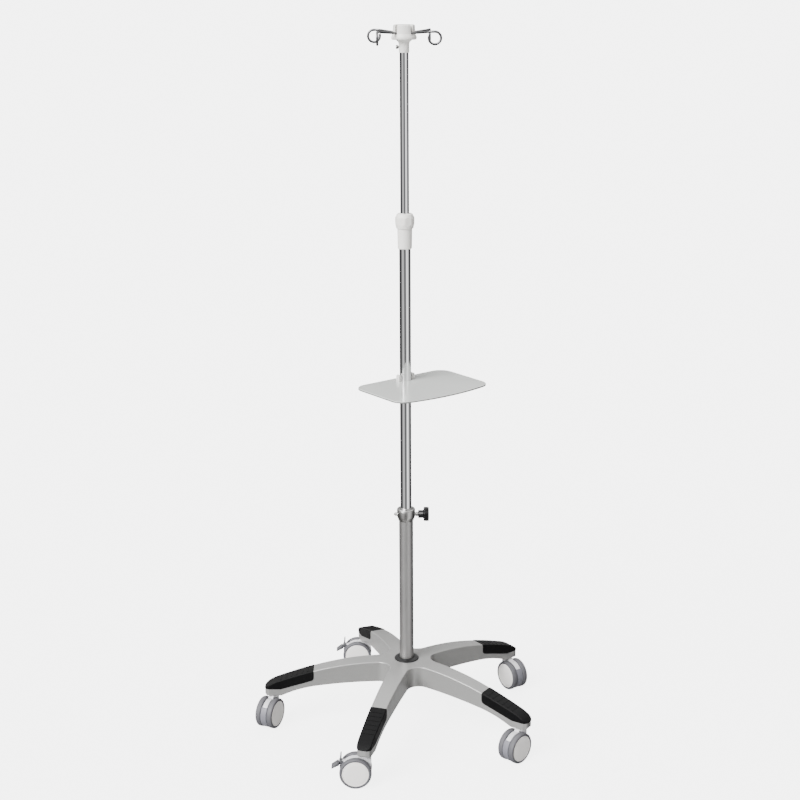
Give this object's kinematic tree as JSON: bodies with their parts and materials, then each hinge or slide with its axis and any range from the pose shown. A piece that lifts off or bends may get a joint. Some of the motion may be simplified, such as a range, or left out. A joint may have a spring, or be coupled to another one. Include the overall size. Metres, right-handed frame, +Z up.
{
  "type": "iv pole stand",
  "caption": "Wheeled infusion stand: five-arm star base on twin castors, telescopic steel mast with clamp knob and twist lock, small tray and four-hook head.",
  "frame": {"origin": "on the floor, on the mast's axis", "axes": "+Z up along the mast; -Y towards the front arm's side, +X towards the clamp knob"},
  "size_m": [0.6417, 0.6295, 1.5796],
  "materials": {
    "cast_alloy": "silver lacquer on die-cast aluminium",
    "black_cover": "satin black moulded cover",
    "black_trim": "black moulded",
    "fastener": "zinc plated steel",
    "satin_steel": "satin stainless tube",
    "collar_metal": "turned stainless",
    "polished_steel": "bright polished tube",
    "hook_wire": "polished stainless wire",
    "white_plastic": "white moulded nylon",
    "white_bush": "natural acetal",
    "tray_enamel": "light enamel, semi gloss",
    "white_clamp": "light enamel",
    "caster_shell": "light grey moulded",
    "caster_disc": "light grey moulded",
    "caster_tread": "non-marking grey tread",
    "caster_pedal": "mid grey moulded"
  },
  "bodies": {
    "root": {"star_base": "cast_alloy", "arm_pads": "black_cover", "mast_bush": "black_trim", "base_bolt": "fastener", "caster_stems": "fastener", "lower_mast": "satin_steel", "guide_bush": "white_bush", "clamp_collar": "collar_metal", "collar_screw": "fastener"},
    "clamp_knob": {"clamp_stud": "fastener", "clamp_knob": "black_trim"},
    "middle_mast": {"middle_tube": "polished_steel", "middle_glide": "white_bush", "lock_body": "white_plastic", "lock_collet": "white_bush"},
    "tray": {"tray_plate": "tray_enamel", "tray_clamp_front": "white_clamp", "tray_clamp_back": "white_clamp", "tray_clamp_screws": "fastener"},
    "lock_nut": {"lock_nut": "white_plastic"},
    "upper_mast": {"upper_tube": "polished_steel", "head_hub": "white_plastic", "hook_pins": "fastener", "head_screw": "fastener"},
    "hook_1": {"hook_1": "hook_wire"},
    "hook_2": {"hook_2": "hook_wire"},
    "hook_3": {"hook_3": "hook_wire"},
    "hook_4": {"hook_4": "hook_wire"},
    "caster_1": {"caster_1_housing": "caster_shell", "caster_1_axle": "fastener"},
    "caster_1_wheel_left": {"caster_1_wheel_left": "caster_disc", "caster_1_tyre_left": "caster_tread"},
    "caster_1_wheel_right": {"caster_1_wheel_right": "caster_disc", "caster_1_tyre_right": "caster_tread"},
    "caster_1_brake": {"caster_1_brake_pedal": "caster_pedal"},
    "caster_2": {"caster_2_housing": "caster_shell", "caster_2_axle": "fastener"},
    "caster_2_wheel_left": {"caster_2_wheel_left": "caster_disc", "caster_2_tyre_left": "caster_tread"},
    "caster_2_wheel_right": {"caster_2_wheel_right": "caster_disc", "caster_2_tyre_right": "caster_tread"},
    "caster_3": {"caster_3_housing": "caster_shell", "caster_3_axle": "fastener"},
    "caster_3_wheel_left": {"caster_3_wheel_left": "caster_disc", "caster_3_tyre_left": "caster_tread"},
    "caster_3_wheel_right": {"caster_3_wheel_right": "caster_disc", "caster_3_tyre_right": "caster_tread"},
    "caster_4": {"caster_4_housing": "caster_shell", "caster_4_axle": "fastener"},
    "caster_4_wheel_left": {"caster_4_wheel_left": "caster_disc", "caster_4_tyre_left": "caster_tread"},
    "caster_4_wheel_right": {"caster_4_wheel_right": "caster_disc", "caster_4_tyre_right": "caster_tread"},
    "caster_4_brake": {"caster_4_brake_pedal": "caster_pedal"},
    "caster_5": {"caster_5_housing": "caster_shell", "caster_5_axle": "fastener"},
    "caster_5_wheel_left": {"caster_5_wheel_left": "caster_disc", "caster_5_tyre_left": "caster_tread"},
    "caster_5_wheel_right": {"caster_5_wheel_right": "caster_disc", "caster_5_tyre_right": "caster_tread"}
  },
  "joints": [
    {"name": "middle_mast_slide", "type": "slide", "parent": "root", "child": "middle_mast", "axis": [0, 0, 1], "range_m": [-0.16, 0.07]},
    {"name": "clamp_knob_turn", "type": "hinge", "parent": "root", "child": "clamp_knob", "pos_m": [0.03, 0, 0.5102], "axis": [1, 0, 0], "range_deg": [-360, 0]},
    {"name": "tray_slide", "type": "slide", "parent": "middle_mast", "child": "tray", "axis": [0, 0, 1], "range_m": [-0.1, 0.2]},
    {"name": "lock_nut_twist", "type": "hinge", "parent": "middle_mast", "child": "lock_nut", "pos_m": [0, 0, 1.17], "axis": [0, 0, 1], "range_deg": [0, 90]},
    {"name": "upper_mast_slide", "type": "slide", "parent": "middle_mast", "child": "upper_mast", "axis": [0, 0, 1], "range_m": [-0.32, 0.24]},
    {"name": "hook_1_fold", "type": "hinge", "parent": "upper_mast", "child": "hook_1", "pos_m": [0.0099, 0.0099, 1.5622], "axis": [0.7071, -0.7071, 0], "range_deg": [0, 75]},
    {"name": "hook_2_fold", "type": "hinge", "parent": "upper_mast", "child": "hook_2", "pos_m": [-0.0099, 0.0099, 1.5622], "axis": [0.7071, 0.7071, 0], "range_deg": [0, 75]},
    {"name": "hook_3_fold", "type": "hinge", "parent": "upper_mast", "child": "hook_3", "pos_m": [-0.0099, -0.0099, 1.5622], "axis": [-0.7071, 0.7071, 0], "range_deg": [0, 75]},
    {"name": "hook_4_fold", "type": "hinge", "parent": "upper_mast", "child": "hook_4", "pos_m": [0.0099, -0.0099, 1.5622], "axis": [-0.7071, -0.7071, 0], "range_deg": [0, 75]},
    {"name": "caster_1_swivel", "type": "hinge", "parent": "root", "child": "caster_1", "pos_m": [-0.08851, -0.29501, 0.06], "axis": [0, 0, 1], "continuous": true},
    {"name": "caster_1_wheel_left_roll", "type": "hinge", "parent": "caster_1", "child": "caster_1_wheel_left", "pos_m": [-0.11051, -0.29501, 0.035], "axis": [0, -1, 0], "continuous": true},
    {"name": "caster_1_wheel_right_roll", "type": "hinge", "parent": "caster_1", "child": "caster_1_wheel_right", "pos_m": [-0.11051, -0.29501, 0.035], "axis": [0, -1, 0], "continuous": true},
    {"name": "caster_1_brake_press", "type": "hinge", "parent": "caster_1", "child": "caster_1_brake", "pos_m": [-0.14251, -0.29501, 0.056], "axis": [0, -1, 0], "range_deg": [0, 14]},
    {"name": "caster_2_swivel", "type": "hinge", "parent": "root", "child": "caster_2", "pos_m": [0.25322, -0.17534, 0.06], "axis": [0, 0, 1], "continuous": true},
    {"name": "caster_2_wheel_left_roll", "type": "hinge", "parent": "caster_2", "child": "caster_2_wheel_left", "pos_m": [0.23822, -0.19143, 0.035], "axis": [0.7314, -0.682, 0], "continuous": true},
    {"name": "caster_2_wheel_right_roll", "type": "hinge", "parent": "caster_2", "child": "caster_2_wheel_right", "pos_m": [0.23822, -0.19143, 0.035], "axis": [0.7314, -0.682, 0], "continuous": true},
    {"name": "caster_3_swivel", "type": "hinge", "parent": "root", "child": "caster_3", "pos_m": [0.24501, 0.18664, 0.06], "axis": [0, 0, 1], "continuous": true},
    {"name": "caster_3_wheel_left_roll", "type": "hinge", "parent": "caster_3", "child": "caster_3_wheel_left", "pos_m": [0.25699, 0.16819, 0.035], "axis": [0.8387, 0.5446, 0], "continuous": true},
    {"name": "caster_3_wheel_right_roll", "type": "hinge", "parent": "caster_3", "child": "caster_3_wheel_right", "pos_m": [0.25699, 0.16819, 0.035], "axis": [0.8387, 0.5446, 0], "continuous": true},
    {"name": "caster_4_swivel", "type": "hinge", "parent": "root", "child": "caster_4", "pos_m": [-0.1018, 0.29069, 0.06], "axis": [0, 0, 1], "continuous": true},
    {"name": "caster_4_wheel_left_roll", "type": "hinge", "parent": "caster_4", "child": "caster_4_wheel_left", "pos_m": [-0.1238, 0.29069, 0.035], "axis": [0, -1, 0], "continuous": true},
    {"name": "caster_4_wheel_right_roll", "type": "hinge", "parent": "caster_4", "child": "caster_4_wheel_right", "pos_m": [-0.1238, 0.29069, 0.035], "axis": [0, -1, 0], "continuous": true},
    {"name": "caster_4_brake_press", "type": "hinge", "parent": "caster_4", "child": "caster_4_brake", "pos_m": [-0.1558, 0.29069, 0.056], "axis": [0, -1, 0], "range_deg": [0, 14]},
    {"name": "caster_5_swivel", "type": "hinge", "parent": "root", "child": "caster_5", "pos_m": [-0.30792, -0.00699, 0.06], "axis": [0, 0, 1], "continuous": true},
    {"name": "caster_5_wheel_left_roll", "type": "hinge", "parent": "caster_5", "child": "caster_5_wheel_left", "pos_m": [-0.31687, -0.02709, 0.035], "axis": [0.9135, -0.4067, 0], "continuous": true},
    {"name": "caster_5_wheel_right_roll", "type": "hinge", "parent": "caster_5", "child": "caster_5_wheel_right", "pos_m": [-0.31687, -0.02709, 0.035], "axis": [0.9135, -0.4067, 0], "continuous": true}
  ]
}
